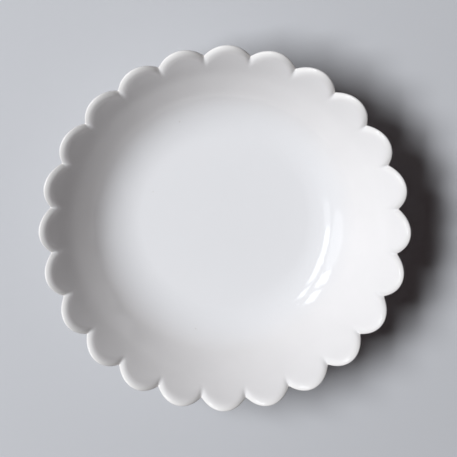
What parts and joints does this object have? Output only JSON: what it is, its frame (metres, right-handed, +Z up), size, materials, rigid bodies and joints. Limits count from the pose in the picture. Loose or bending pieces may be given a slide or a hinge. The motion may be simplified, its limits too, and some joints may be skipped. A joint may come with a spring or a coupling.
{
  "type": "scalloped bowl",
  "caption": "Round glazed ceramic bowl with a flat floor, a sloping wall that ends in a ring of round petals, and a foot ring to stand on; holds and serves food.",
  "frame": {"origin": "centre of the circle that the foot ring's standing face lies on, at table height", "axes": "+Z up along the bowl's axis, towards its mouth; +X through the tip of a petal"},
  "size_m": [0.23, 0.23, 0.056],
  "materials": {
    "white_glaze": "gloss",
    "bare_clay": "matte"
  },
  "bodies": {
    "root": {"bowl_body": "white_glaze", "scalloped_rim": "white_glaze", "foot_ring": "bare_clay"}
  },
  "joints": []
}
